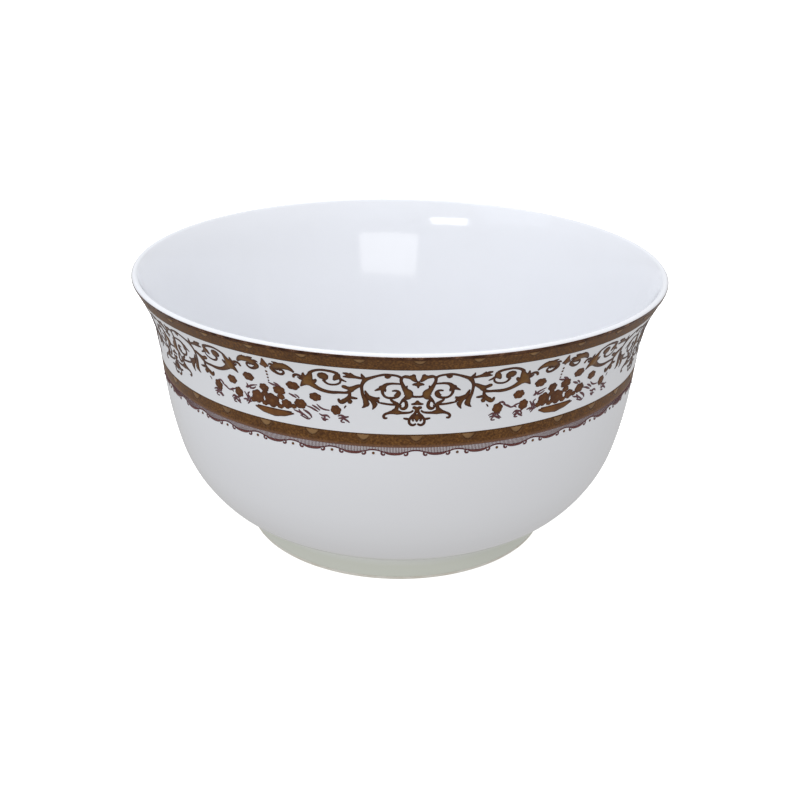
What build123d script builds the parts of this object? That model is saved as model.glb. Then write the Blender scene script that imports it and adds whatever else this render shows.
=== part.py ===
from build123d import *
from math import cos, degrees, radians, sin
import os

# Round porcelain serving bowl: one fired body on a foot ring, a glaze coat over it, and the
# thin gilt and brown decoration fired on the outside of the glaze.
# Millimetres, +Z up, origin at the centre of the foot's resting face.
# Round sections are drawn as (radius, height). Ornament is drawn as (distance along the
# wall from the motif's own axis, height).

# Driving dimensions
rim_radius = 100.0
wall_top = 103.0          # where the outer wall meets the rounded lip
lip_radius = 1.15
foot_radius = 59.5        # outer edge of the resting face
foot_taper = 1.0          # how much wider the foot is at its top
foot_height = 9.8
foot_width = 5.5
recess_height = 6.8       # underside of the floor, inside the foot ring
floor_height = 12.0
floor_flat = 30.0
glaze_depth = 0.2
dry_edge = 1.4            # height of the unglazed edge that the bowl stands on
film = 0.3                # thickness of the raised, fired decoration
seat_gap = 0.02           # clearance between one coat and the next
foot_rounding = 1.0

# Heights of the decoration on the wall
gilt_top = 103.85
gilt_seat = 0.02          # gap between the lip line and the band under it
gilt_facets = 3
gilt_from = -40           # degrees round the lip, 0 facing outwards
gilt_to = 50
upper_band_base = 98.7
lower_band_top = 74.3
lower_band_base = 69.4
fringe_base = 66.5

# Frieze between the bands
frieze_repeats = 6
frieze_radius = 92.5      # mean wall radius behind the frieze
frieze_spread = 50.0      # degrees of wall that the widest motif needs
scroll_reach = 28.0       # from a cartouche's axis to the middle of the scroll beside it
volute_reach = 8.0
volute_height = 90.4
volute_eye = 2.0
bloom_radius = 1.8

os.makedirs("parts", exist_ok=True)


# Profile lines of the wall, foot and floor

flare = Vector(0.455, 0.890)           # direction of the wall where it meets the lip
across = Vector(0.890, -0.455)         # square to it, outwards
lip_centre = Vector(rim_radius - lip_radius, wall_top + lip_radius * 0.455)
lip_crest = lip_centre + flare * lip_radius
recess_radius = foot_radius - foot_width
recess_corner = Vector(recess_radius, recess_height)

belly_start = Vector(0.941, 0.339)     # direction of the wall where it leaves the foot
belly_points = [
    Vector(foot_radius + foot_taper, foot_height),
    Vector(75.5, 20.0),
    Vector(86.2, 40.0),
    Vector(90.65, 66.0),
    Vector(92.7, 84.0),
    Vector(96.35, 96.0),
    lip_centre + across * lip_radius,
]
hollow_start = Vector(1, 0)            # the floor runs level into the inside of the wall
hollow_points = [
    Vector(floor_flat, floor_height),
    Vector(53.6, 13.6),
    Vector(71.0, 23.2),
    Vector(80.3, 41.3),
    Vector(85.65, 63.0),
    Vector(90.6, 83.5),
    Vector(93.75, 94.5),
    lip_centre - across * lip_radius,
]


def right_of(direction):
    return Vector(direction.Y, -direction.X)


def arc_chain(points, direction, step):
    """Tangent arcs through the points, moved sideways by a step to their right."""
    start = points[0] + right_of(direction) * step
    for here, there in zip(points, points[1:]):
        with BuildLine(mode=Mode.PRIVATE):
            arc = TangentArc(here, there, tangent=direction)
        next_direction = arc % 1
        end = there + right_of(next_direction) * step
        TangentArc(start, end, tangent=direction)
        start = end
        direction = next_direction


def outer_line(step):
    """Outside of the wall up to the crest of the lip, this far out of the glaze surface."""
    with BuildLine(mode=Mode.PRIVATE) as line:
        arc_chain(belly_points, belly_start, step)
        RadiusArc(line.line @ 1, lip_crest + flare * step, -(lip_radius + step))
    return line.line


def inner_line(step):
    """Inside of the bowl from the middle of the floor up to the crest of the lip."""
    with BuildLine(mode=Mode.PRIVATE) as line:
        Line((0, floor_height + step), (floor_flat, floor_height + step))
        arc_chain(hollow_points, hollow_start, -step)
        RadiusArc(line.line @ 1, lip_crest + flare * step, lip_radius + step)
    return line.line


# Porcelain body and the glaze coat over it

def glazed_section(step, base):
    """Section of the bowl above this height, with its glazed surface moved out by a step."""
    outside = outer_line(step)
    inside = inner_line(step)
    with BuildSketch(mode=Mode.PRIVATE) as section:
        with BuildLine():
            add(outside)
            add(inside)
            Polyline(
                inside @ 0,
                (0, recess_height - step),
                recess_corner - Vector(step, step),
                Vector(recess_radius - step, base),
                Vector(foot_radius + foot_taper * base / foot_height + step, base),
                outside @ 0,
            )
        make_face()
    return section.sketch


with BuildSketch() as body_section:
    add(glazed_section(-glaze_depth - seat_gap, dry_edge - seat_gap))
    with BuildLine():
        Polyline(
            (recess_radius, dry_edge - seat_gap),
            (recess_radius, 0),
            (foot_radius, 0),
            (foot_radius + foot_taper * dry_edge / foot_height, dry_edge - seat_gap),
            close=True,
        )
    make_face()
    fillet(body_section.vertices().group_by(Axis.Y)[0], radius=foot_rounding)

with BuildSketch() as glaze_section:
    add(glazed_section(0, dry_edge))
    add(glazed_section(-glaze_depth, dry_edge), mode=Mode.SUBTRACT)

with BuildPart() as porcelain_body:
    with BuildSketch(Plane.XZ):
        add(body_section.sketch)
    revolve(axis=Axis.Z)

with BuildPart() as glaze_coat:
    with BuildSketch(Plane.XZ):
        add(glaze_section.sketch)
    revolve(axis=Axis.Z)


# Fired film on the outside of the wall, which every ornament is cut from

film_back = outer_line(seat_gap)
film_face = outer_line(seat_gap + film)
with BuildSketch() as film_section:
    with BuildLine():
        add(film_back)
        add(film_face)
        Line(film_back @ 0, film_face @ 0)
        Line(film_back @ 1, film_face @ 1)
    make_face()


def upright_plane(angle):
    """Upright plane through the axis, turned by this angle from the one that faces the front."""
    turn = radians(angle)
    return Plane(origin=(0, 0, 0), x_dir=(cos(turn), sin(turn), 0), z_dir=(sin(turn), -cos(turn), 0))


def film_band(base, top, start=0, spread=360):
    """The film between two heights, from a start angle over a spread of angle."""
    with BuildPart(mode=Mode.PRIVATE) as band:
        with BuildSketch(upright_plane(start)):
            add(film_section.sketch)
            with Locations((0, base)):
                Rectangle(
                    2 * rim_radius, top - base, align=(Align.MIN, Align.MIN), mode=Mode.INTERSECT
                )
        revolve(axis=Axis.Z, revolution_arc=spread)
    return band.part


def on_wall(motif, angle):
    """The film under a flat motif of the frieze that faces outwards at this angle."""
    start = angle - 90 - frieze_spread / 2
    patch = film_band(lower_band_top, upper_band_base, start, frieze_spread)
    with BuildPart(mode=Mode.PRIVATE) as piece:
        with BuildSketch(upright_plane(angle)):
            add(motif)
        extrude(amount=rim_radius + lip_radius)
        add(patch, mode=Mode.INTERSECT)
    return piece.part


# Continuous rings of decoration

def lip_facets(step):
    """Flats round the outside of the lip, each touching the circle this far out of the glaze."""
    turn = (gilt_to - gilt_from) / gilt_facets
    reach = (lip_radius + step) / cos(radians(turn / 2))
    corners = []
    for k in range(gilt_facets + 1):
        angle = radians(gilt_from + k * turn)
        corners.append(lip_centre + Vector(cos(angle), sin(angle)) * reach)
    return corners


with BuildPart() as gilt_lip_line:
    with BuildSketch(Plane.XZ):
        with BuildLine():
            Polyline(*lip_facets(seat_gap), *reversed(lip_facets(seat_gap + film)), close=True)
        make_face()
        with Locations((0, wall_top + gilt_seat)):
            Rectangle(
                2 * rim_radius, gilt_top - wall_top - gilt_seat,
                align=(Align.MIN, Align.MIN), mode=Mode.INTERSECT,
            )
    revolve(axis=Axis.Z)

with BuildPart() as upper_border_band:
    add(film_band(upper_band_base, wall_top))

with BuildPart() as lower_border_band:
    add(film_band(lower_band_base, lower_band_top))


# Scroll cartouche: a lyre shaped field with an eye in each volute, over a pendant

with BuildSketch() as cartouche:
    with BuildLine():
        ThreePointArc((0.0, 96.6), (9.2, 97.2), (17.2, 95.4))
        ThreePointArc((17.2, 95.4), (16.2, 90.0), (16.8, 83.8))
        ThreePointArc((16.8, 83.8), (12.6, 84.0), (10.3, 80.4))
        ThreePointArc((10.3, 80.4), (6.4, 81.9), (3.2, 79.6))
        ThreePointArc((3.2, 79.6), (2.4, 77.8), (0.0, 77.4))
        mirror(about=Plane.YZ)
    make_face()
    with Locations((-volute_reach, volute_height), (volute_reach, volute_height)):
        Circle(volute_eye, mode=Mode.SUBTRACT)

# Acanthus scroll: a trunk that rises into a curl, measured from the middle of the scroll

with BuildSketch() as acanthus:
    with BuildLine():
        ThreePointArc((-10.4, 92.6), (-1.0, 87.8), (7.0, 92.0))
        ThreePointArc((7.0, 92.0), (11.4, 94.2), (16.6, 92.9))
        ThreePointArc((16.6, 92.9), (12.6, 98.2), (6.6, 94.6))
        ThreePointArc((6.6, 94.6), (1.0, 97.4), (-5.4, 94.0))
        Line((-5.4, 94.0), (-10.4, 92.6))
    make_face()

# Flower spray: a heap of blooms over a boat shaped basket, with loose blooms beside it

with BuildSketch() as flower_spray:
    with BuildLine():
        ThreePointArc((-8.0, 79.0), (0.4, 76.4), (8.6, 79.0))
        ThreePointArc((8.6, 79.0), (7.6, 84.2), (0.4, 87.9))
        ThreePointArc((0.4, 87.9), (-6.8, 84.6), (-8.0, 79.0))
    make_face()
    with Locations((-7.5, 89.4), (8.8, 89.4), (-15.0, 86.0), (16.1, 86.0),
                   (-13.2, 81.8), (13.0, 81.8), (-22.1, 82.0), (22.7, 82.0)):
        Circle(bloom_radius)

repeat_angle = 360 / frieze_repeats
scroll_angle = degrees(scroll_reach / frieze_radius)

one_cartouche = on_wall(cartouche.sketch, 0)
right_scroll = on_wall(acanthus.sketch, scroll_angle)
left_scroll = mirror(right_scroll, about=Plane.YZ)
one_spray = on_wall(flower_spray.sketch, repeat_angle / 2)

with BuildPart() as scroll_cartouches:
    with PolarLocations(0, frieze_repeats):
        add(one_cartouche)

with BuildPart() as acanthus_scrolls:
    with PolarLocations(0, frieze_repeats):
        add(right_scroll)
        add(left_scroll)

with BuildPart() as flower_sprays:
    with PolarLocations(0, frieze_repeats):
        add(one_spray)


# Lace fringe under the lower band

with BuildPart() as lace_fringe:
    add(film_band(fringe_base, lower_band_base))


# One file for each piece

pieces = {
    "porcelain_body": porcelain_body,
    "glaze_coat": glaze_coat,
    "gilt_lip_line": gilt_lip_line,
    "upper_border_band": upper_border_band,
    "lower_border_band": lower_border_band,
    "scroll_cartouches": scroll_cartouches,
    "acanthus_scrolls": acanthus_scrolls,
    "flower_sprays": flower_sprays,
    "lace_fringe": lace_fringe,
}
for piece_name, piece in pieces.items():
    piece.part.label = piece_name
    export_step(piece.part, f"parts/{piece_name}.step")
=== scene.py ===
import math
import random

import bmesh
import bpy
from mathutils import Matrix, Vector


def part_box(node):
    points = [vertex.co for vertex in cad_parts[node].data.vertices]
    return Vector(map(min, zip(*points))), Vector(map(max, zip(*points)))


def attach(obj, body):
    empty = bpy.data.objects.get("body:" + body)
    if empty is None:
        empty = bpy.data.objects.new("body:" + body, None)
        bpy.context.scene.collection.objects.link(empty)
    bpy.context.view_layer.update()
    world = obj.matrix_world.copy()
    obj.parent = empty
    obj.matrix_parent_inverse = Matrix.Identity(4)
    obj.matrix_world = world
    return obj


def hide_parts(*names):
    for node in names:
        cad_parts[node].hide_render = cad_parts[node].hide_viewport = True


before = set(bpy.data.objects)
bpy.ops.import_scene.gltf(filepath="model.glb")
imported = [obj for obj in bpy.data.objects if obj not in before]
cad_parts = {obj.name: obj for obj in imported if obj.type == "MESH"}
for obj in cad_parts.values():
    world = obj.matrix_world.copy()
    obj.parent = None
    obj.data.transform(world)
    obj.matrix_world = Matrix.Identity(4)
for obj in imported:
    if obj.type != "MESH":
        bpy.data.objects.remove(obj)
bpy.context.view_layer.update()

random.seed(7)
mm = 0.001
roundSteps = 256                        # segments of every turned piece
scene = bpy.context.scene
scene.view_settings.view_transform = "Standard"


# the wall's points are (radius, height) in millimetres, joined by arcs that run on smoothly
bowl = {
    "outside": [(60.5, 9.8), (75.5, 20.0), (86.2, 40.0), (90.65, 66.0), (92.7, 84.0),
                (96.35, 96.0), (99.8735, 103.0)],
    "outsideStart": (0.941, 0.339),
    "inside": [(30.0, 12.0), (53.6, 13.6), (71.0, 23.2), (80.3, 41.3), (85.65, 63.0),
               (90.6, 83.5), (93.75, 94.5), (97.8265, 104.0465)],
    "insideStart": (1.0, 0.0),
    "lipCentre": (98.85, 103.523),
    "lipRadius": 1.15,
    "footRadius": 59.5,
    "footWidth": 5.5,
    "footLean": 0.15,                   # the glazed side of the foot stands out this far
    "recessHeight": 6.8,
    "floorHeight": 12.0,
    "dryEdge": 1.4,                     # height of the bare standing edge
    "creaseRound": 1.1,
    "recessRound": 1.2,
    "glazeRound": 0.3,
    "pointsPerArc": 10,
    "pointsOnLip": 16,
}


def turned(direction, angle):
    c, s = math.cos(angle), math.sin(angle)
    return Vector((direction.x * c - direction.y * s, direction.x * s + direction.y * c))


def smoothArcs(points, start):
    # samples of the arcs through the points, each arc leaving the way the last one arrived
    perArc = bowl["pointsPerArc"]
    points = [Vector(p) for p in points]
    heading = Vector(start).normalized()
    line = []
    for here, there in zip(points, points[1:]):
        chord = there - here
        turn = math.atan2(heading.cross(chord), heading.dot(chord))
        for k in range(perArc if there is not points[-1] else perArc + 1):
            t = k / perArc
            bent = abs(turn) > 1e-6
            reach = chord.length * (math.sin(turn * t) / math.sin(turn) if bent else t)
            line.append(here + turned(heading, turn * t) * reach)
        heading = turned(heading, 2 * turn)
    return line


def lipArc(startAngle, endAngle, lift, steps):
    centre, radius = Vector(bowl["lipCentre"]), bowl["lipRadius"] + lift
    return [centre + turned(Vector((radius, 0)), startAngle + (endAngle - startAngle) * k / steps)
            for k in range(steps + 1)]


def softCorner(before, corner, after, reach, steps=5):
    # a rounded corner between two straight runs
    before, corner, after = Vector(before), Vector(corner), Vector(after)
    a = corner + (before - corner).normalized() * reach
    b = corner + (after - corner).normalized() * reach
    return [a.lerp(corner, k / steps).lerp(corner.lerp(b, k / steps), k / steps)
            for k in range(steps + 1)]


wallLine = smoothArcs(bowl["outside"], bowl["outsideStart"])


def wallAt(height):
    # radius and outward facing of the outside wall at a height
    for low, high in zip(wallLine, wallLine[1:]):
        if low.y <= height <= high.y:
            break
    t = (height - low.y) / (high.y - low.y)
    run = (high - low).normalized()
    return low.x + (high.x - low.x) * t, Vector((run.y, -run.x))


def finished(name, bm, *materials):
    mesh = bpy.data.meshes.new(name)
    bm.to_mesh(mesh)
    bm.free()
    for face in mesh.polygons:
        face.use_smooth = True
    piece = bpy.data.objects.new(name, mesh)
    scene.collection.objects.link(piece)
    for material in materials:
        mesh.materials.append(material)
    return piece


def spunSection(section, closed):
    # a section of (radius, height) points in millimetres, spun round the axis
    bm = bmesh.new()
    verts = [bm.verts.new((p[0] * mm, 0, p[1] * mm)) for p in section]
    edges = [bm.edges.new(pair) for pair in zip(verts, verts[1:])]
    if closed:
        edges.append(bm.edges.new((verts[-1], verts[0])))
    bmesh.ops.spin(bm, geom=verts + edges, cent=(0, 0, 0), axis=(0, 0, 1),
                   angle=math.tau, steps=roundSteps, use_merge=True)
    bmesh.ops.remove_doubles(bm, verts=bm.verts, dist=1e-6)
    bmesh.ops.recalc_face_normals(bm, faces=bm.faces)
    return bm


def tone(r, g, b):
    # a display colour, 0 to 255, as linear light
    return tuple((c / 255 / 12.92 if c <= 10 else ((c / 255 + 0.055) / 1.055) ** 2.4)
                 for c in (r, g, b)) + (1.0,)


def newFinish(name, **sockets):
    material = bpy.data.materials.new(name)
    material.use_nodes = True
    nodes, links = material.node_tree.nodes, material.node_tree.links
    shader = nodes["Principled BSDF"]
    for key, value in sockets.items():
        shader.inputs[key.replace("_", " ")].default_value = value
    return material, nodes, links, shader


def objectCoords(nodes):
    return nodes.new("ShaderNodeTexCoord").outputs["Object"]


def heightOf(nodes, links, coords):
    split = nodes.new("ShaderNodeSeparateXYZ")
    links.new(coords, split.inputs[0])
    return split.outputs["Z"]


def noiseNode(nodes, links, coords, scale, detail):
    noise = nodes.new("ShaderNodeTexNoise")
    noise.inputs["Scale"].default_value = scale
    noise.inputs["Detail"].default_value = detail
    links.new(coords, noise.inputs["Vector"])
    return noise.outputs["Fac"]


def rampNode(nodes, links, factor, stops):
    ramp = nodes.new("ShaderNodeValToRGB")
    elements = ramp.color_ramp.elements
    while len(elements) < len(stops):
        elements.new(0.5)
    for element, (place, colour) in zip(elements, stops):
        element.position = place
        element.color = colour
    links.new(factor, ramp.inputs["Fac"])
    return ramp.outputs["Color"]


def rangeNode(nodes, links, value, *limits):
    # limits are the value's low and high, then what they turn into
    remap = nodes.new("ShaderNodeMapRange")
    for socket, number in zip(("From Min", "From Max", "To Min", "To Max"), limits):
        remap.inputs[socket].default_value = number
    links.new(value, remap.inputs["Value"])
    return remap.outputs["Result"]


def mixNode(nodes, links, factor, a, b):
    mix = nodes.new("ShaderNodeMix")
    mix.data_type = "RGBA"
    for socket, value in ((mix.inputs[0], factor), (mix.inputs[6], a), (mix.inputs[7], b)):
        if isinstance(value, tuple):
            socket.default_value = value
        else:
            links.new(value, socket)
    return mix.outputs[2]


def bumpNode(nodes, links, shader, height, strength, distance):
    bump = nodes.new("ShaderNodeBump")
    bump.inputs["Strength"].default_value = strength
    bump.inputs["Distance"].default_value = distance
    links.new(height, bump.inputs["Height"])
    links.new(bump.outputs["Normal"], shader.inputs["Normal"])


glazeLook = {
    # painted light: the wall tone low down and the lighter, bluer inside tone high up paint the
    # glaze brighter on the upper bowl and its inside
    "wall": tone(238, 239, 242),
    "inside": tone(243, 245, 249),
    "pooled": tone(217, 220, 209),      # thick glaze round the foot
    "pooledTop": 0.013,
    "pooledFull": 0.006,
    "cloudScale": 26.0,
    "rippleScale": 90.0,
    "ripple": 0.035,
    "rippleDepth": 0.0006,
    "roughness": (0.05, 0.1),
}


def glazeFinish():
    material, nodes, links, shader = newFinish("glazedPorcelain", IOR=1.52)
    coords = objectCoords(nodes)
    height = heightOf(nodes, links, coords)
    pooled = rangeNode(nodes, links, height, glazeLook["pooledTop"], glazeLook["pooledFull"],
                       0.0, 1.0)
    # painted light: from 20 mm up to 100 mm the glaze is painted lighter and bluer, inside and out
    upper = rangeNode(nodes, links, height, 0.02, 0.1, 0.0, 1.0)
    body = mixNode(nodes, links, upper, glazeLook["wall"], glazeLook["inside"])
    cloud = noiseNode(nodes, links, coords, glazeLook["cloudScale"], 3.0)
    cloudy = mixNode(nodes, links, rangeNode(nodes, links, cloud, 0.3, 0.7, 0.0, 0.25),
                     body, glazeLook["wall"])
    links.new(mixNode(nodes, links, pooled, cloudy, glazeLook["pooled"]),
              shader.inputs["Base Color"])
    links.new(rangeNode(nodes, links, cloud, 0.3, 0.7, *glazeLook["roughness"]),
              shader.inputs["Roughness"])
    ripples = noiseNode(nodes, links, coords, glazeLook["rippleScale"], 2.0)
    bumpNode(nodes, links, shader, ripples, glazeLook["ripple"], glazeLook["rippleDepth"])
    return material


biscuitLook = {
    "stained": tone(214, 209, 196),
    "clean": tone(232, 230, 222),
    "speck": tone(168, 155, 132),
    "stainScale": 160.0,
    "grainScale": 2600.0,
    "roughness": 0.86,
}


def biscuitFinish():
    material, nodes, links, shader = newFinish("bareBiscuit", Roughness=biscuitLook["roughness"])
    coords = objectCoords(nodes)
    grain = noiseNode(nodes, links, coords, biscuitLook["grainScale"], 6.0)
    stain = noiseNode(nodes, links, coords, biscuitLook["stainScale"], 4.0)
    base = rampNode(nodes, links, stain,
                    [(0.35, biscuitLook["stained"]), (0.65, biscuitLook["clean"])])
    speck = rangeNode(nodes, links, grain, 0.62, 0.75, 0.0, 0.5)
    links.new(mixNode(nodes, links, speck, base, biscuitLook["speck"]),
              shader.inputs["Base Color"])
    bumpNode(nodes, links, shader, grain, 0.25, 0.0001)
    return material


giltLook = {
    "worn": tone(66, 42, 34),
    "middle": tone(104, 72, 54),
    "bright": tone(156, 120, 94),
    "wearScale": 420.0,
    "scratchScale": 1500.0,
    "roughness": (0.16, 0.3),
    "proud": 0.07,                      # how far the line stands off the lip, in millimetres
    "sunk": 0.05,
}


def gildFinish():
    material, nodes, links, shader = newFinish("burnishedGilt", Metallic=1.0)
    coords = objectCoords(nodes)
    wear = noiseNode(nodes, links, coords, giltLook["wearScale"], 5.0)
    links.new(rampNode(nodes, links, wear, [(0.3, giltLook["worn"]), (0.55, giltLook["middle"]),
                                            (0.8, giltLook["bright"])]),
              shader.inputs["Base Color"])
    links.new(rangeNode(nodes, links, wear, 0.3, 0.7, *giltLook["roughness"]),
              shader.inputs["Roughness"])
    scratches = noiseNode(nodes, links, coords, giltLook["scratchScale"], 3.0)
    bumpNode(nodes, links, shader, scratches, 0.12, 0.0001)
    return material


bandLook = {
    "dark": tone(78, 48, 22),
    "middle": tone(104, 68, 32),
    "light": tone(134, 94, 48),
    "edge": tone(62, 36, 24),
    "edgeWidth": 0.0005,
    "hem": tone(138, 104, 84),          # the paler hem where the lace starts
    "hemWidth": 0.0013,
    "flakeScale": 1500.0,
    "driftScale": 190.0,
    "roughness": (0.32, 0.55),
    "proud": 0.08,                      # thickness off the wall and under it, in millimetres
    "sunk": 0.04,
    "endShare": 0.25,                   # share of the thickness left at its two edges
    "steps": 14,
}


def bandFinish(name, lowEdge, highEdge, hem):
    # brown gold laid in small flakes, darker along its edges, or paler along a hem
    material, nodes, links, shader = newFinish(name, Metallic=0.15, Specular_IOR_Level=0.2)
    coords = objectCoords(nodes)
    height = heightOf(nodes, links, coords)
    flake = noiseNode(nodes, links, coords, bandLook["flakeScale"], 6.0)
    drift = noiseNode(nodes, links, coords, bandLook["driftScale"], 3.0)
    gold = rampNode(nodes, links, flake, [(0.34, bandLook["dark"]), (0.5, bandLook["middle"]),
                                          (0.68, bandLook["light"])])
    shaded = mixNode(nodes, links, rangeNode(nodes, links, drift, 0.4, 0.7, 0.0, 0.4),
                     gold, bandLook["dark"])
    lowWidth = bandLook["hemWidth" if hem else "edgeWidth"]
    lower = rangeNode(nodes, links, height, lowEdge, lowEdge + lowWidth, 0.8, 0.0)
    upper = rangeNode(nodes, links, height, highEdge - bandLook["edgeWidth"], highEdge, 0.0, 0.8)
    edged = mixNode(nodes, links, lower, shaded, bandLook["hem" if hem else "edge"])
    links.new(mixNode(nodes, links, upper, edged, bandLook["edge"]), shader.inputs["Base Color"])
    links.new(rangeNode(nodes, links, flake, 0.3, 0.7, *bandLook["roughness"]),
              shader.inputs["Roughness"])
    bumpNode(nodes, links, shader, flake, 0.3, 0.00006)
    return material


# tones from a stroke's edge to its crest, and the rise at which the crest's tone is reached
enamelLook = {
    "scroll": (tone(60, 32, 24), tone(84, 48, 26), tone(128, 90, 42), 1.25),
    "bloom": (tone(50, 25, 19), tone(90, 50, 27), tone(120, 78, 38), 0.85),
    "leaf": (tone(80, 46, 54), tone(102, 64, 68), tone(118, 80, 78), 0.6),
    "lace": (tone(82, 42, 48), tone(98, 54, 56), tone(116, 72, 64), 0.5),
    "fan": (tone(72, 42, 26), tone(118, 84, 48), tone(144, 110, 72), 0.5),
    "roughness": (0.26, 0.42),
}


def enamelFinish(kind):
    # raised enamel: dark where it thins out to its edge, warmer where it stands highest
    edge, middle, crest, crestRise = enamelLook[kind]
    material, nodes, links, shader = newFinish(kind + "Enamel", Specular_IOR_Level=0.2)
    coords = objectCoords(nodes)
    rise = nodes.new("ShaderNodeAttribute")
    rise.attribute_name = "rise"
    body = rampNode(nodes, links,
                    rangeNode(nodes, links, rise.outputs["Fac"], 0.0, crestRise, 0.0, 1.0),
                    [(0.0, edge), (0.4, middle), (1.0, crest)])
    grain = noiseNode(nodes, links, coords, 1300.0, 5.0)
    patchy = noiseNode(nodes, links, coords, 240.0, 3.0)
    worn = mixNode(nodes, links, rangeNode(nodes, links, patchy, 0.45, 0.7, 0.0, 0.45),
                   body, edge)
    lit = mixNode(nodes, links, rangeNode(nodes, links, grain, 0.55, 0.75, 0.0, 0.35),
                  worn, crest)
    links.new(lit, shader.inputs["Base Color"])
    links.new(rangeNode(nodes, links, grain, 0.3, 0.7, *enamelLook["roughness"]),
              shader.inputs["Roughness"])
    bumpNode(nodes, links, shader, grain, 0.2, 0.00005)
    return material


glaze = glazeFinish()
biscuit = biscuitFinish()
gild = gildFinish()
scrollEnamel = enamelFinish("scroll")
bloomEnamel = enamelFinish("bloom")
leafEnamel = enamelFinish("leaf")
laceEnamel = enamelFinish("lace")
print("finishes ready")


def glazedBowl():
    recess, dry, floorHeight = bowl["recessHeight"], bowl["dryEdge"], bowl["floorHeight"]
    foot, innerFoot = bowl["footRadius"], bowl["footRadius"] - bowl["footWidth"]
    inside = smoothArcs(bowl["inside"], bowl["insideStart"])
    lipStart, lipEnd = (line[-1] - Vector(bowl["lipCentre"]) for line in (wallLine, inside))
    lip = lipArc(math.atan2(lipStart.y, lipStart.x), math.atan2(lipEnd.y, lipEnd.x), 0.0,
                 bowl["pointsOnLip"])
    outerCorner = (foot + bowl["footLean"], dry)
    section = [Vector((radius, recess)) for radius in (0, 18, 36)]
    section += softCorner((0, recess), (innerFoot, recess), (innerFoot, dry),
                          bowl["recessRound"])
    section += softCorner((innerFoot, recess), (innerFoot, dry), (foot, dry),
                          bowl["glazeRound"], 3)
    section += softCorner((innerFoot, dry), outerCorner, wallLine[0], bowl["glazeRound"], 3)
    section += [Vector(outerCorner).lerp(wallLine[0], t) for t in (0.25, 0.5, 0.75)]
    section += softCorner(outerCorner, wallLine[0], wallLine[2], bowl["creaseRound"])
    section += wallLine[2:-1] + lip + inside[-2::-1]
    section += [Vector((radius, floorHeight)) for radius in (20, 10, 0)]
    return finished("glazedBowl", spunSection(section, False), glaze)


standingEdge = {"round": 0.9, "underGlaze": 0.05, "innerGap": 0.25}


def dryFootRing():
    foot, dry = bowl["footRadius"], bowl["dryEdge"]
    innerFoot = foot - bowl["footWidth"]
    gap, under = standingEdge["innerGap"], standingEdge["underGlaze"]
    section = [Vector((innerFoot + gap, dry + under))]
    section += softCorner((innerFoot + gap, dry), (innerFoot + bowl["footLean"], 0), (foot, 0),
                          standingEdge["round"])
    section += softCorner((innerFoot, 0), (foot, 0), (foot, dry), standingEdge["round"])
    section += [Vector((foot - under, dry + under))]
    return finished("dryFootRing", spunSection(section, True), biscuit)


def bandSection(node):
    # closed section of a film on the wall between the heights of a CAD node
    low, high = (corner.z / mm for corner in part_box(node))
    steps = bandLook["steps"]
    back, face = [], []
    for k in range(steps + 1):
        height = low + (high - low) * k / steps
        radius, facing = wallAt(min(max(height, wallLine[0].y + 0.01), wallLine[-1].y - 0.01))
        fade = min(1.0, min(k, steps - k) + bandLook["endShare"])
        back.append(Vector((radius, height)) - facing * bandLook["sunk"])
        face.append(Vector((radius, height)) + facing * (bandLook["proud"] * fade))
    return face + back[::-1]


def giltLine():
    # over the outer shoulder of the lip, up to the height of its CAD node
    centre = Vector(bowl["lipCentre"])
    start = math.atan2(bowl["outside"][-1][1] - centre.y, bowl["outside"][-1][0] - centre.x)
    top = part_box("gilt_lip_line")[1].z / mm
    end = math.asin(min(1.0, (top - centre.y) / (bowl["lipRadius"] + 0.1)))
    face = lipArc(start, end, giltLook["proud"], 10)
    back = lipArc(start, end, -giltLook["sunk"], 10)
    return finished("giltLine", spunSection(face + back[::-1], True), gild)


def wallBand(name, node, finish):
    return finished(name, spunSection(bandSection(node), True), finish)


bowlBody = glazedBowl()
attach(bowlBody, "root")
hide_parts("glaze_coat")

footRing = dryFootRing()
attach(footRing, "root")
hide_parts("porcelain_body")

lipLine = giltLine()
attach(lipLine, "root")
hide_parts("gilt_lip_line")

for bandName, node in (("upperBand", "upper_border_band"), ("lowerBand", "lower_border_band")):
    low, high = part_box(node)
    gilding = bandFinish(bandName + "Gilding", low.z, high.z, bandName == "lowerBand")
    band = wallBand(bandName, node, gilding)
    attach(band, "root")
    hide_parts(node)
print("bowl, foot, lip line and bands turned")


# strokes are points of (distance along the wall, height) and widths, in millimetres
brushwork = {
    "repeats": 6,
    "radius": 92.5,                     # where a distance along the wall is measured
    "weight": 1.14,
    "undersideShare": 0.12,             # how much of a stroke's back is left behind the wall
}
repeats, friezeRadius = brushwork["repeats"], brushwork["radius"]


def brush(points, widths):
    # spreads the widths evenly over the points
    steps = len(points) - 1
    stroke = []
    for k, (x, v) in enumerate(points):
        place = k / steps * (len(widths) - 1)
        i = min(int(place), len(widths) - 2)
        width = widths[i] + (widths[i + 1] - widths[i]) * (place - i)
        stroke.append((x, v, brushwork["weight"] * width))
    return stroke


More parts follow.
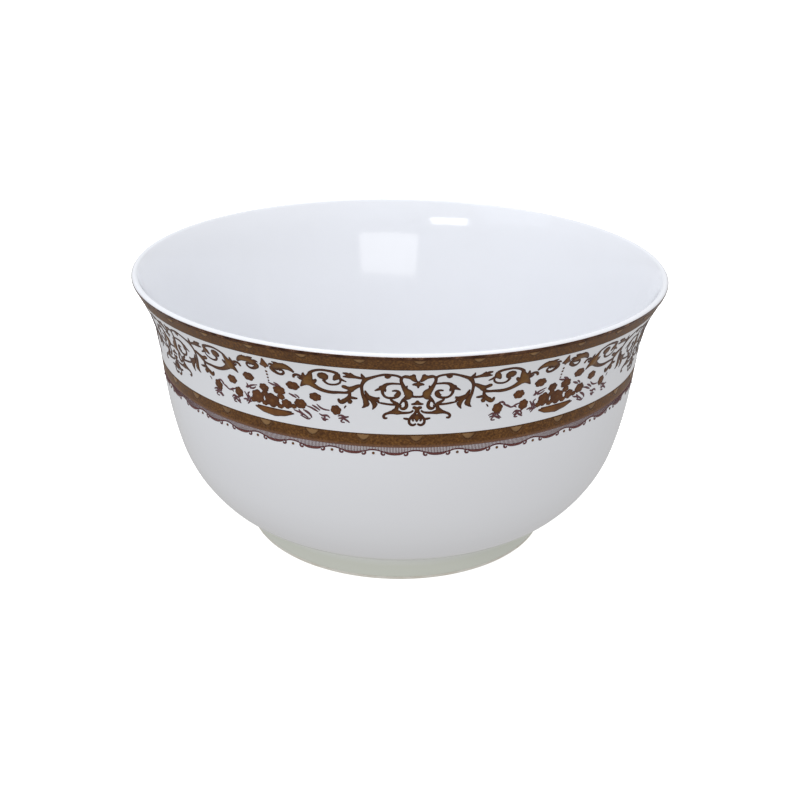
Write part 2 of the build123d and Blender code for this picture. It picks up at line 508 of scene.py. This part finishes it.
def strokeMesh(strokes, mirrored=False, resolution=4, sides=2):
    curve = bpy.data.curves.new("brushPath", "CURVE")
    curve.dimensions = "3D"
    curve.bevel_depth = 0.5
    curve.bevel_resolution = sides
    curve.resolution_u = resolution
    curve.use_fill_caps = True
    for stroke in strokes:
        for side in ((1, -1) if mirrored else (1,)):
            spline = curve.splines.new("BEZIER")
            spline.bezier_points.add(len(stroke) - 1)
            for point, (x, v, width) in zip(spline.bezier_points, stroke):
                point.co = (side * x, v, 0)
                point.radius = width
            for point in spline.bezier_points:
                point.handle_left_type = point.handle_right_type = "AUTO"
    holder = bpy.data.objects.new("brushPath", curve)
    scene.collection.objects.link(holder)
    bpy.context.view_layer.update()
    depsgraph = bpy.context.evaluated_depsgraph_get()
    mesh = bpy.data.meshes.new_from_object(holder.evaluated_get(depsgraph))
    bm = bmesh.new()
    bm.from_mesh(mesh)
    bpy.data.objects.remove(holder)
    bpy.data.curves.remove(curve)
    bpy.data.meshes.remove(mesh)
    bmesh.ops.remove_doubles(bm, verts=bm.verts, dist=1e-4)
    bmesh.ops.recalc_face_normals(bm, faces=bm.faces)
    return bm


def joinStrokes(bm, more):
    carrier = bpy.data.meshes.new("carrier")
    more.to_mesh(carrier)
    more.free()
    bm.from_mesh(carrier)
    bpy.data.meshes.remove(carrier)


def addDab(bm, x, v, rx, ry, thick, segments=10, rings=6):
    # a flattened bead of enamel
    place = Matrix.Translation((x, v, 0)) @ Matrix.Diagonal((rx, ry, thick, 1))
    bmesh.ops.create_uvsphere(bm, u_segments=segments, v_segments=rings, radius=1.0,
                              matrix=place)


def wrapOnWall(bm, relief, lift=0.03, centre=0.0):
    # flattens the strokes to their relief and lays them round the outside of the wall
    rise = bm.verts.layers.float.new("rise")
    for vert in bm.verts:
        x, v, h = vert.co
        vert[rise] = max(h, 0.0)
        h = lift + (h * relief if h > 0 else h * brushwork["undersideShare"])
        radius, facing = wallAt(v)
        angle = (x + centre) / friezeRadius
        out = (radius + facing.x * h) * mm
        vert.co = (out * math.sin(angle), -out * math.cos(angle), (v + facing.y * h) * mm)


def repeatRound(bm, count):
    geom = bm.verts[:] + bm.edges[:] + bm.faces[:]
    bmesh.ops.spin(bm, geom=geom, cent=(0, 0, 0), axis=(0, 0, 1),
                   angle=math.tau * (count - 1) / count, steps=count - 1, use_duplicate=True)


cartouche = {
    "relief": 0.15,
    "mirrored": [
        # shoulder line and the lobe under it
        brush([(15.8, 94.6), (14.1, 95.4), (12.0, 96.3), (10.0, 96.85), (8.1, 96.8), (6.2, 96.4),
               (5.0, 95.6)],
              [1.3, 1.0, 0.8, 0.85, 0.8, 0.8, 0.9]),
        brush([(9.9, 96.6), (9.4, 95.9), (9.2, 95.3)], [0.6, 1.3, 0.5]),
        brush([(8.2, 96.5), (8.9, 95.9), (9.4, 95.4)], [0.5, 1.0, 0.6]),
        # upright that swells into the foot of the lyre
        brush([(5.0, 95.9), (5.2, 94.7), (4.9, 93.4), (4.5, 92.3), (3.7, 90.8), (2.9, 89.6),
               (2.9, 88.5), (4.0, 87.5),
               (4.9, 86.5), (5.3, 85.6)], [1.0, 0.9, 1.0, 1.2, 1.7, 2.6, 2.3, 1.1, 0.7, 0.6]),
        brush([(3.3, 92.6), (3.6, 91.4), (3.2, 90.2)], [0.4, 0.8, 1.2]),
        # little curl under it
        brush([(5.4, 85.3), (4.9, 86.4), (4.0, 86.7), (3.4, 85.6), (3.6, 84.3), (4.5, 83.8),
               (5.3, 84.4), (5.1, 85.2)],
              [0.5, 0.7, 0.9, 1.0, 1.1, 1.0, 0.7, 0.5]),
        # volute
        brush([(4.9, 93.2), (6.6, 93.3), (8.1, 93.3), (9.7, 92.8), (10.5, 91.7), (10.8, 90.3),
               (10.6, 89.0),
               (9.7, 88.0), (8.3, 87.7), (7.1, 87.9), (6.0, 88.8), (5.8, 89.8), (6.5, 90.5),
               (7.9, 90.4)],
              [0.6, 0.7, 0.8, 1.1, 1.5, 1.0, 0.8, 0.75, 0.8, 0.9, 1.2, 1.1, 0.8, 0.5]),
        brush([(5.9, 89.7), (6.4, 89.0), (7.3, 88.7)], [1.2, 1.4, 0.4]),
        brush([(10.2, 92.2), (11.4, 91.9), (11.9, 91.7)], [1.1, 0.8, 0.3]),
        brush([(10.5, 91.4), (11.8, 91.0), (13.2, 90.3)], [1.3, 1.0, 0.4]),
        brush([(10.3, 91.2), (10.0, 90.6), (9.9, 90.0)], [1.0, 0.8, 0.3]),
        # its tail, down to the link and the low arm
        brush([(8.3, 87.6), (8.0, 86.8), (7.1, 86.1), (6.2, 85.3), (6.4, 84.2), (6.7, 83.0)],
              [0.6, 0.8, 1.0, 1.2, 1.1, 1.4]),
        brush([(12.4, 85.95), (10.6, 85.6), (8.9, 85.35), (7.0, 85.3),
               (6.0, 85.4)], [0.5, 0.7, 0.7, 0.8, 0.6]),
        brush([(1.2, 83.2), (1.9, 82.6), (3.0, 82.35), (4.7, 82.3), (6.2, 82.5), (7.7, 82.5),
               (9.1, 82.1),
               (10.1, 81.6), (10.5, 80.9), (10.2, 80.3), (9.3, 80.3)],
              [0.6, 0.65, 0.75, 0.9, 1.6, 1.35, 0.85, 0.8, 0.85, 0.85, 0.5]),
        brush([(6.6, 83.7), (7.4, 83.1), (8.2, 82.7)], [1.0, 1.0, 0.5]),
        # side stem and its leaves
        brush([(15.6, 94.9), (16.6, 93.3), (17.1, 91.9), (17.1, 90.0), (16.8, 88.2),
               (16.2, 86.7), (16.0, 85.5),
               (16.4, 84.4), (17.3, 83.6)], [1.6, 1.1, 0.95, 0.9, 1.1, 1.5, 1.7, 1.1, 0.3]),
        brush([(16.0, 86.2), (15.5, 85.2), (15.8, 84.2)], [1.1, 1.2, 0.5]),
        brush([(16.2, 90.2), (15.6, 88.6), (15.0, 87.4), (14.1, 86.6), (13.5, 85.5),
               (13.4, 84.5), (14.0, 83.2)],
              [0.5, 1.1, 1.3, 1.3, 1.4, 1.2, 0.3]),
        brush([(13.8, 86.0), (12.9, 85.3), (12.9, 84.4)], [1.0, 1.0, 0.4]),
        brush([(15.4, 88.0), (13.9, 87.5), (12.6, 87.4), (11.7, 87.6)], [1.2, 1.1, 0.8, 0.8]),
        brush([(14.6, 86.9), (13.3, 86.9), (12.4, 86.5), (12.0, 86.0)], [1.1, 1.1, 1.0, 0.6]),
        # leaf of the tulip in the middle
        brush([(5.0, 95.9), (3.9, 96.2), (2.9, 96.0), (1.9, 95.8), (1.3, 95.0), (0.6, 94.2)],
              [0.7, 1.2, 1.2, 1.9, 1.4, 0.8]),
        brush([(1.8, 95.8), (1.5, 96.6), (1.9, 97.1)], [1.5, 1.1, 0.5]),
        brush([(0.3, 93.0), (1.1, 93.1), (1.8, 92.9)], [1.2, 1.0, 0.5]),
        # bridge, three-pointed drop and the pendant
        brush([(0.0, 88.25), (1.1, 88.3), (2.2, 88.7)], [0.75, 0.75, 1.2]),
        brush([(0.0, 85.9), (0.9, 85.6), (1.9, 85.5)], [1.3, 0.9, 0.5]),
        brush([(0.0, 83.6), (0.6, 84.1), (1.1, 84.3), (0.9, 83.7)], [1.4, 1.1, 0.8, 0.5]),
        brush([(0.2, 83.3), (0.6, 82.2), (1.5, 81.2), (2.2, 80.1), (2.45, 79.1), (2.0, 78.1),
               (1.1, 77.8), (0.2, 78.3)],
              [0.9, 0.8, 0.8, 0.8, 0.8, 0.85, 0.8, 0.6]),
        brush([(0.3, 81.3), (0.9, 80.6), (1.3, 79.8), (1.0, 79.2)], [0.9, 0.9, 0.7, 0.5]),
        brush([(2.3, 80.0), (3.3, 80.1), (4.3, 80.3)], [0.7, 0.8, 0.5]),
    ],
    "middle": [
        brush([(0.0, 94.4), (0.0, 93.3), (0.0, 92.4), (0.0, 91.6)], [0.8, 1.5, 0.9, 0.4]),
        brush([(0.0, 86.9), (0.0, 86.2), (0.0, 85.4)], [0.5, 1.4, 0.9]),
        brush([(0.0, 84.0), (0.0, 83.1), (0.0, 82.2)], [1.2, 0.9, 0.6]),
        brush([(0.0, 81.9), (0.0, 80.9), (0.0, 80.1), (0.0, 79.0)], [0.5, 1.6, 1.5, 0.4]),
    ],
}


def scrollCartouches():
    bm = strokeMesh(cartouche["mirrored"], True)
    joinStrokes(bm, strokeMesh(cartouche["middle"]))
    wrapOnWall(bm, cartouche["relief"])
    repeatRound(bm, repeats)
    return finished("cartoucheScrolls", bm, scrollEnamel)


acanthus = {
    "relief": 0.15,
    "strokes": [
        # leaf that leaves the cartouche's shoulder
        brush([(15.8, 94.9), (17.2, 95.0), (18.4, 95.2), (19.5, 95.4), (21.0, 95.3), (22.6, 95.1)],
              [1.0, 0.9, 1.0, 1.3, 1.2, 0.4]),
        brush([(16.3, 95.2), (16.7, 96.0), (16.9, 96.9)], [1.1, 0.9, 0.3]),
        brush([(19.3, 95.5), (20.0, 96.2), (20.3, 96.9)], [1.0, 1.1, 0.4]),
        brush([(20.2, 95.6), (21.3, 96.3), (22.5, 96.6)], [1.2, 1.2, 0.5]),
        # branch with a knob
        brush([(17.1, 92.1), (18.1, 91.8), (19.3, 91.1), (20.4, 90.5), (21.6, 90.7), (22.6, 91.1)],
              [0.9, 1.2, 1.4, 1.7, 1.2, 1.3]),
        brush([(20.2, 90.3), (20.8, 89.6), (21.6, 89.0), (22.6, 88.8), (24.4, 88.7),
               (26.6, 88.5), (28.8, 88.7),
               (30.65, 89.3), (32.2, 90.2), (33.5, 91.2)],
              [1.6, 1.2, 1.0, 0.85, 0.9, 1.1, 1.15, 1.3, 1.7, 2.2]),
        # pendant leaf
        brush([(20.9, 89.7), (21.0, 88.7), (21.1, 87.8), (21.8, 86.7), (22.9, 85.7),
               (24.0, 85.2), (24.6, 85.9),
               (24.5, 86.4)], [0.9, 0.9, 1.0, 1.2, 1.5, 1.4, 0.9, 0.5]),
        brush([(21.5, 87.0), (20.4, 87.1), (19.4, 87.0), (18.6, 87.0)], [0.9, 1.0, 0.8, 0.5]),
        brush([(21.6, 86.4), (21.0, 85.6), (20.4, 85.3)], [1.1, 1.7, 0.9]),
        brush([(22.3, 84.0), (22.7, 83.5), (23.0, 82.9)], [0.3, 0.5, 0.3]),
        # trunk of the scroll
        brush([(32.6, 95.6), (33.2, 94.0), (33.8, 92.6), (34.4, 91.6), (35.4, 90.9), (36.9, 89.3)],
              [0.9, 1.8, 2.8, 3.2, 1.9, 0.4]),
        brush([(35.1, 95.0), (35.2, 93.9), (34.6, 92.8)], [0.4, 1.2, 1.8]),
        brush([(31.2, 92.9), (31.8, 92.2), (32.8, 91.6)], [0.6, 1.2, 1.6]),
        brush([(34.6, 93.0), (35.9, 93.2), (37.4, 93.7), (38.5, 93.2),
               (38.8, 92.5)], [1.4, 1.0, 0.9, 0.9, 0.5]),
        brush([(35.4, 92.6), (36.4, 92.3), (37.4, 92.9)], [1.4, 0.9, 0.4]),
        # thin arc over the bud, ending in a leaf
        brush([(33.2, 94.9), (32.3, 95.8), (31.0, 96.5), (29.1, 97.0), (26.9, 96.9),
               (25.2, 96.6), (24.1, 96.0)],
              [1.1, 0.9, 0.85, 0.8, 0.9, 1.0, 1.2]),
        brush([(24.0, 96.3), (24.2, 95.3), (24.9, 94.3), (25.7, 93.3)], [0.9, 1.7, 1.7, 0.6]),
        brush([(24.4, 95.0), (23.3, 93.9), (21.7, 93.1)], [1.3, 0.9, 0.4]),
        brush([(23.6, 94.0), (23.6, 92.9), (24.4, 92.0), (26.0, 91.5), (27.5, 91.6),
               (28.4, 92.2), (28.9, 93.2)],
              [0.6, 0.6, 0.65, 0.65, 0.7, 0.8, 1.0]),
        brush([(28.7, 93.1), (28.0, 94.0), (27.4, 95.0)], [0.9, 1.4, 0.7]),
        # crest leaf by the spray
        brush([(38.2, 94.4), (39.2, 95.4), (40.6, 96.1), (42.3, 96.2), (44.2, 95.7), (46.3, 94.9)],
              [0.7, 1.4, 2.1, 2.2, 2.0, 0.5]),
        brush([(40.6, 96.2), (41.0, 96.9), (41.4, 97.5)], [1.4, 1.1, 0.4]),
        brush([(42.6, 96.4), (43.6, 96.9), (45.0, 97.4)], [1.6, 1.3, 0.4]),
        brush([(44.6, 95.9), (45.8, 96.2), (46.6, 95.9)], [1.2, 0.9, 0.3]),
        brush([(45.4, 95.3), (45.7, 94.4), (44.8, 93.4), (43.5, 92.8), (42.2, 93.1),
               (41.8, 94.0), (42.5, 94.6),
               (43.3, 94.2)], [1.2, 1.5, 1.2, 0.9, 0.8, 0.8, 0.8, 0.5]),
        brush([(44.6, 95.0), (43.9, 94.6), (43.2, 94.9)], [1.3, 0.9, 0.4]),
    ],
    # (distance, height, half width, half height)
    "buds": [(28.9, 94.6, 1.85, 1.45), (22.7, 91.1, 0.75, 0.7), (38.7, 92.7, 0.5, 0.5)],
    "budThickness": 0.9,
}


def acanthusScrolls():
    bm = strokeMesh(acanthus["strokes"], True)
    for x, v, rx, ry in acanthus["buds"]:
        for side in (1, -1):
            addDab(bm, side * x, v, rx, ry, acanthus["budThickness"])
    wrapOnWall(bm, acanthus["relief"])
    repeatRound(bm, repeats)
    return finished("acanthusRuns", bm, scrollEnamel)


spray = {
    "relief": 0.16,
    "centre": math.pi / repeats * friezeRadius,
    # (distance, height, half width, half height)
    "blooms": [(-7.5, 89.0, 2.2, 1.6), (8.8, 89.0, 2.3, 1.6), (-15.0, 86.0, 2.0, 1.6),
               (16.1, 86.0, 2.0, 1.55),
               (-22.1, 82.0, 1.8, 1.9), (22.7, 82.0, 1.7, 1.8), (-12.8, 81.8, 1.75, 1.9),
               (10.8, 82.6, 2.1, 1.8),
               (-2.0, 86.1, 1.8, 1.5), (3.6, 86.2, 2.2, 1.7), (-4.9, 82.2, 2.4, 2.4),
               (0.5, 81.9, 2.8, 2.5),
               (5.9, 81.6, 1.9, 1.7), (-1.9, 83.9, 1.3, 1.1), (4.0, 83.9, 1.4, 1.1),
               (-6.9, 80.6, 1.2, 1.0),
               (3.4, 80.3, 1.2, 0.9), (-2.4, 80.3, 1.2, 0.9), (8.3, 81.2, 1.1, 0.9)],
    "solid": [
        brush([(0.3, 98.1), (0.3, 97.0), (0.3, 95.7), (0.3, 94.2)], [0.4, 1.3, 2.4, 0.4]),
        brush([(0.3, 95.4), (-0.7, 95.3), (-1.4, 95.4)], [1.4, 1.0, 0.3]),
        brush([(0.3, 95.4), (1.3, 95.3), (2.0, 95.4)], [1.4, 1.0, 0.3]),
        brush([(-6.4, 78.4), (-3.5, 77.9), (0.5, 77.6), (4.5, 77.9),
               (8.2, 78.4)], [0.5, 2.0, 2.4, 2.0, 0.4]),
        brush([(-5.4, 78.9), (0.5, 78.7), (7.4, 78.9)], [0.4, 0.7, 0.4]),
        brush([(-2.2, 77.1), (0.8, 76.6), (2.6, 76.6)], [0.5, 0.9, 0.4]),
    ],
    "dots": [(0.3, 92.8, 0.45), (0.3, 91.6, 0.42), (0.3, 90.4, 0.38), (0.3, 89.3, 0.32)],
    "leaves": [
        brush([(-8.9, 84.3), (-7.6, 85.4), (-6.2, 86.0), (-4.6, 86.4)], [0.3, 0.7, 0.5, 0.3]),
        brush([(-7.9, 84.6), (-6.4, 84.8), (-5.2, 85.6)], [0.6, 0.6, 0.3]),
        brush([(-9.4, 84.4), (-8.6, 85.4), (-8.9, 86.2)], [0.4, 0.7, 0.3]),
        brush([(0.0, 88.6), (1.6, 88.0), (3.2, 87.8)], [0.4, 0.7, 0.4]),
        brush([(2.0, 88.9), (3.2, 88.3), (4.4, 87.6)], [0.4, 0.9, 0.4]),
        brush([(7.0, 85.8), (8.4, 85.2), (9.6, 84.6)], [0.4, 0.8, 0.4]),
        brush([(9.0, 85.8), (9.8, 85.4), (10.6, 84.6)], [0.3, 0.6, 0.4]),
        brush([(-20.2, 83.2), (-18.6, 82.4), (-17.0, 81.6), (-15.6, 82.2), (-14.4, 82.6)],
              [0.4, 0.7, 0.5, 0.7, 0.4]),
        brush([(-21.8, 84.0), (-20.6, 84.0), (-19.5, 83.2)], [0.4, 0.8, 0.4]),
        brush([(-17.4, 81.4), (-16.2, 81.8), (-15.2, 81.2)], [0.3, 0.6, 0.3]),
        # three-lobed leaves under the loose blooms
        brush([(-25.0, 79.6), (-23.6, 80.2), (-22.2, 79.9), (-21.0, 80.1)], [0.3, 0.7, 0.7, 0.4]),
        brush([(-24.6, 79.0), (-23.0, 79.2), (-21.8, 78.6), (-20.9, 77.9)], [0.4, 0.7, 0.7, 0.4]),
        brush([(-23.4, 80.0), (-23.2, 79.0), (-23.9, 78.0), (-22.6, 77.7)], [0.5, 0.5, 0.5, 0.4]),
        brush([(-21.9, 79.8), (-21.2, 78.8), (-20.4, 78.2)], [0.4, 0.6, 0.3]),
        brush([(-16.4, 79.0), (-15.3, 79.9), (-14.0, 79.6), (-12.9, 79.9)], [0.3, 0.7, 0.7, 0.4]),
        brush([(-16.0, 78.6), (-14.6, 78.9), (-13.6, 78.2), (-12.6, 77.6)], [0.4, 0.7, 0.7, 0.4]),
        brush([(-15.2, 79.6), (-14.9, 78.6), (-15.6, 77.9), (-14.4, 77.6)], [0.5, 0.5, 0.5, 0.4]),
        brush([(-13.6, 79.6), (-13.0, 78.5), (-13.4, 77.7)], [0.4, 0.6, 0.3]),
        brush([(-10.4, 82.6), (-9.6, 81.4), (-9.2, 80.2), (-10.0, 79.0)], [0.4, 0.6, 0.6, 0.4]),
        brush([(-9.2, 81.6), (-8.4, 80.6), (-8.8, 79.2), (-9.6, 78.3)], [0.4, 0.7, 0.6, 0.4]),
        brush([(-11.2, 79.6), (-10.0, 79.9), (-8.6, 79.4), (-7.4, 79.8)], [0.4, 0.7, 0.6, 0.3]),
        brush([(-8.2, 83.0), (-9.0, 82.0), (-8.2, 81.0)], [0.4, 0.6, 0.3]),
        brush([(8.2, 80.0), (9.4, 79.6), (10.6, 79.2), (11.2, 78.2)], [0.3, 0.6, 0.6, 0.3]),
        brush([(10.0, 80.4), (10.8, 79.4), (12.0, 78.6), (13.2, 77.8)], [0.4, 0.7, 0.6, 0.4]),
        brush([(11.6, 80.6), (12.8, 80.0), (14.0, 79.0), (14.4, 78.0)], [0.4, 0.8, 0.7, 0.3]),
        brush([(10.4, 78.4), (11.8, 77.8), (13.2, 77.4), (14.0, 77.9)], [0.3, 0.5, 0.5, 0.3]),
        brush([(13.0, 82.2), (14.4, 81.8), (15.6, 81.2), (16.8, 80.6)], [0.4, 0.6, 0.7, 0.3]),
        brush([(14.8, 82.8), (16.0, 82.2), (17.4, 81.2)], [0.4, 0.7, 0.4]),
        brush([(16.4, 83.4), (17.4, 82.4), (18.6, 81.8), (20.6, 81.6)], [0.3, 0.6, 0.6, 0.4]),
        brush([(17.0, 80.0), (18.2, 79.4), (19.6, 79.6), (20.6, 78.8)], [0.3, 0.7, 0.7, 0.3]),
        brush([(17.6, 78.6), (18.8, 78.2), (20.0, 78.2)], [0.4, 0.7, 0.3]),
        brush([(18.4, 79.8), (18.9, 78.9), (18.2, 78.0), (19.2, 77.6)], [0.5, 0.5, 0.5, 0.4]),
        brush([(23.2, 79.8), (24.4, 80.2), (25.6, 79.7), (26.8, 80.0)], [0.3, 0.7, 0.7, 0.4]),
        brush([(23.4, 79.0), (24.8, 79.2), (26.0, 78.6), (27.0, 77.8)], [0.4, 0.7, 0.7, 0.4]),
        brush([(24.6, 79.9), (24.8, 78.9), (24.2, 78.0), (25.4, 77.7)], [0.5, 0.5, 0.5, 0.4]),
    ],
}


bloomShape = {"petals": 6, "spread": 0.56, "petal": 0.52, "heart": 0.5, "pip": 0.2}


def placeBloom(bm, x, v, rx, ry):
    # petals round a raised heart, turned at random
    start = random.uniform(0, math.tau)
    spread, petal, heart, pip = (bloomShape[k] for k in ("spread", "petal", "heart", "pip"))
    for k in range(bloomShape["petals"]):
        angle = start + math.tau * k / bloomShape["petals"]
        addDab(bm, x + math.cos(angle) * rx * spread, v + math.sin(angle) * ry * spread,
               rx * petal, ry * petal, 0.6, 9)
    addDab(bm, x, v, rx * heart, ry * heart, 0.8, 9)
    addDab(bm, x + rx * 0.06, v + ry * 0.1, rx * pip, ry * pip, 1.1, 8)


def flowerSprays():
    bm = strokeMesh(spray["solid"])
    for x, v, rx, ry in spray["blooms"]:
        placeBloom(bm, x, v, rx, ry)
    for x, v, radius in spray["dots"]:
        addDab(bm, x, v, radius, radius, 0.5, 8)
    wrapOnWall(bm, spray["relief"], 0.03, spray["centre"])
    repeatRound(bm, repeats)
    return finished("flowerBlooms", bm, bloomEnamel)


def sprayLeaves():
    bm = strokeMesh(spray["leaves"], False, 4, 1)
    wrapOnWall(bm, spray["relief"], 0.025, spray["centre"])
    repeatRound(bm, repeats)
    return finished("flowerLeaves", bm, leafEnamel)


for piece, node, slot in ((scrollCartouches(), "scroll_cartouches", "scroll_enamel"),
                          (acanthusScrolls(), "acanthus_scrolls", "scroll_enamel"),
                          (flowerSprays(), "flower_sprays", "flower_enamel")):
    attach(piece, "root")
    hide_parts(node)
leaves = sprayLeaves()
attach(leaves, "root")
print("frieze painted")


# upright threads down to a scalloped edge, with hooks and pearls, in millimetres
lace = {
    "repeats": 42,
    "threads": 28,
    "threadWidth": 0.27,
    "threadThickness": 0.3,
    "top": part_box("lower_border_band")[0].z / mm,
    "tuck": 0.1,                        # how far a thread runs up under the band
    "archTop": 68.4,
    "archDrop": 0.6,
    "archHalf": 2.8,
    "dipTop": 67.7,
    "dipBottom": 67.0,
    "pearl": 0.5,
    "pearlHeight": 67.15,
    "relief": 0.16,
    "pearlRelief": 0.3,
}
lacePitch = math.tau / lace["repeats"] * friezeRadius


def laceEdge(x):
    # height of the scalloped edge at a distance from the middle of an arch
    x = abs((x + lacePitch / 2) % lacePitch - lacePitch / 2)
    if x < lace["archHalf"]:
        return lace["archTop"] - lace["archDrop"] * (x / lace["archHalf"]) ** 2
    across = (lacePitch / 2 - x) / (lacePitch / 2 - lace["archHalf"])
    depth = lace["dipTop"] - lace["dipBottom"]
    return lace["dipTop"] - depth * math.sqrt(max(0.0, 1 - across * across))


def laceFringe():
    half, top = lace["archHalf"], lace["top"] + lace["tuck"]
    arch = brush([(x, laceEdge(x)) for x in (-half, -half * 0.6, 0.0, half * 0.6, half)],
                 [0.35, 0.45, 0.45, 0.45, 0.35])
    hook = brush([(half + 0.7, 67.6), (half + 0.1, 67.8), (half - 0.15, 67.15),
                  (half + 0.2, 66.65), (half + 0.8, 66.7), (half + 0.85, 67.15)],
                 [0.4, 0.5, 0.6, 0.62, 0.55, 0.3])
    dip = brush([(half + 0.7, 67.8), (half + 1.5, 67.35), (half + 2.6, 67.1),
                 (lacePitch / 2, 67.0)], [0.4, 0.7, 0.85, 0.9])
    bm = strokeMesh([hook, dip], True, 3, 1)
    joinStrokes(bm, strokeMesh([arch], False, 3, 1))
    for k in range(lace["threads"]):
        x = (k + 0.5) / lace["threads"] * lacePitch - lacePitch / 2
        low = laceEdge(x)
        place = Matrix.Translation((x, (low + top) / 2, 0.05))
        shape = Matrix.Diagonal((lace["threadWidth"], top - low, lace["threadThickness"], 1))
        bmesh.ops.create_cube(bm, size=1.0, matrix=place @ shape)
    wrapOnWall(bm, lace["relief"])
    repeatRound(bm, lace["repeats"])
    return finished("laceEdging", bm, laceEnamel)


def lacePearls():
    # the arch below a cartouche's axis hangs no pearl
    bm = bmesh.new()
    for k in range(1, lace["repeats"] // repeats):
        addDab(bm, k * lacePitch, lace["pearlHeight"], lace["pearl"], lace["pearl"], 0.9, 10, 8)
    wrapOnWall(bm, lace["pearlRelief"])
    repeatRound(bm, repeats)
    return finished("lacePearls", bm, bloomEnamel)


fringe = laceFringe()
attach(fringe, "root")
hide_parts("lace_fringe")
pearls = lacePearls()
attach(pearls, "root")
print("lace laid")


# fans in the two bands, paler than the gold, each with a dark rim
fans = {
    "lower": {"node": "lower_border_band", "count": 34, "half": 2.9, "drop": 2.7},
    "upper": {"node": "upper_border_band", "count": 34, "half": 2.2, "drop": 1.8},
}
fanEnamel = enamelFinish("fan")
for name, look in fans.items():
    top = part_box(look["node"])[1].z / mm - 0.3
    half, drop = look["half"], look["drop"]
    rim = brush([(-half, top), (-half * 0.62, top - drop * 0.6), (0.0, top - drop),
                 (half * 0.62, top - drop * 0.6), (half, top)], [0.2, 0.28, 0.3, 0.28, 0.2])
    fill = brush([(-half * 0.7, top - 0.15), (0.0, top - drop * 0.38),
                  (half * 0.7, top - 0.15)], [0.5, drop * 0.8, 0.5])
    ribs = [brush([(side * half * 0.1, top - drop * 0.2),
                   (side * half * 0.42, top - drop * 0.75)], [0.2, 0.16]) for side in (-1, 0, 1)]
    bm = strokeMesh([rim, fill] + ribs, False, 3, 1)
    wrapOnWall(bm, 0.1, 0.1)
    repeatRound(bm, look["count"])
    fan = finished(name + "BandFans", bm, fanEnamel)
    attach(fan, "root")
print("fans laid on the bands")


studio = {
    "floorTone": (0.93, 0.93, 0.93, 1.0),
    "floorGlow": 0.7,                   # a lit table, so hardly a shadow lies on it
    "skyTone": (0.585, 0.59, 0.61, 1.0),
    "groundTone": (0.56, 0.555, 0.55, 1.0),
    "sunStrength": 1.2,
    "sunSpread": 60.0,
    "aimHeight": 0.08,
    # azimuth from the front (+ to the right), elevation, distance, width, height, radiance, tone
    "boxes": {
        "frontBox": (2.6, 14.0, 1.6, 0.86, 0.3, 2.5, (1.0, 0.99, 0.97)),
        "leftStrip": (-30.0, 27.0, 1.6, 0.5, 0.17, 8.0, (1.0, 1.0, 1.0)),
        "leftFill": (-68.0, 42.0, 2.2, 1.3, 1.3, 0.75, (0.78, 0.85, 1.0)),
    },
}

bm = bmesh.new()
bmesh.ops.create_grid(bm, x_segments=2, y_segments=2, size=400.0)
floorFinish, nodes, links, shader = newFinish("paleFloor", Roughness=0.9, Specular_IOR_Level=0.0)
shader.inputs["Base Color"].default_value = studio["floorTone"]
shader.inputs["Emission Color"].default_value = (1.0, 1.0, 1.0, 1.0)
shader.inputs["Emission Strength"].default_value = studio["floorGlow"]
floor = finished("studioFloor", bm, floorFinish)
floor.visible_diffuse = False           # the room, not the floor, lights the bowl from below
floor.visible_glossy = False

world = bpy.data.worlds.new("softRoom")
scene.world = world
world.use_nodes = True
nodes, links = world.node_tree.nodes, world.node_tree.links
heading = nodes.new("ShaderNodeSeparateXYZ")
links.new(nodes.new("ShaderNodeTexCoord").outputs["Generated"], heading.inputs[0])
room = rampNode(nodes, links, rangeNode(nodes, links, heading.outputs["Z"], -1.0, 1.0, 0.0, 1.0),
                [(0.46, studio["groundTone"]), (0.56, studio["skyTone"])])
links.new(room, nodes["Background"].inputs["Color"])

sunData = bpy.data.lights.new("overheadSoft", "SUN")
sunData.energy = studio["sunStrength"]
sunData.angle = math.radians(studio["sunSpread"])
sun = bpy.data.objects.new("overheadSoft", sunData)
scene.collection.objects.link(sun)

for name, (azimuth, elevation, distance, width, height, radiance, colour) in studio["boxes"].items():
    data = bpy.data.lights.new(name, "AREA")
    data.shape = "RECTANGLE"
    data.size, data.size_y = width, height
    data.energy = radiance * width * height * math.pi
    data.color = colour
    lamp = bpy.data.objects.new(name, data)
    a, e = math.radians(azimuth), math.radians(elevation)
    away = Vector((math.sin(a) * math.cos(e), -math.cos(a) * math.cos(e), math.sin(e)))
    lamp.location = Vector((0, 0, studio["aimHeight"])) + away * distance
    lamp.rotation_euler = away.to_track_quat("Z", "Y").to_euler()
    scene.collection.objects.link(lamp)

view = {
    "lens": 51.0,
    "sensor": 36.0,
    "shift": 0.0025,
    "away": 0.41695,
    "height": 0.22752,
    "azimuth": -3.74,
    "down": 23.461,
    "roll": 0.889,
}
cameraData = bpy.data.cameras.new("camera")
cameraData.lens = view["lens"]
cameraData.sensor_width = view["sensor"]
cameraData.shift_x = view["shift"]
cameraData.clip_start = 0.01
camera = bpy.data.objects.new("camera", cameraData)
scene.collection.objects.link(camera)
turn = math.radians(view["azimuth"])
place = Matrix.Translation((math.sin(turn) * view["away"], -math.cos(turn) * view["away"],
                            view["height"]))
camera.matrix_world = (place @ Matrix.Rotation(turn, 4, "Z")
                       @ Matrix.Rotation(math.radians(90 - view["down"]), 4, "X")
                       @ Matrix.Rotation(math.radians(view["roll"]), 4, "Z"))
scene.camera = camera
print("studio ready")
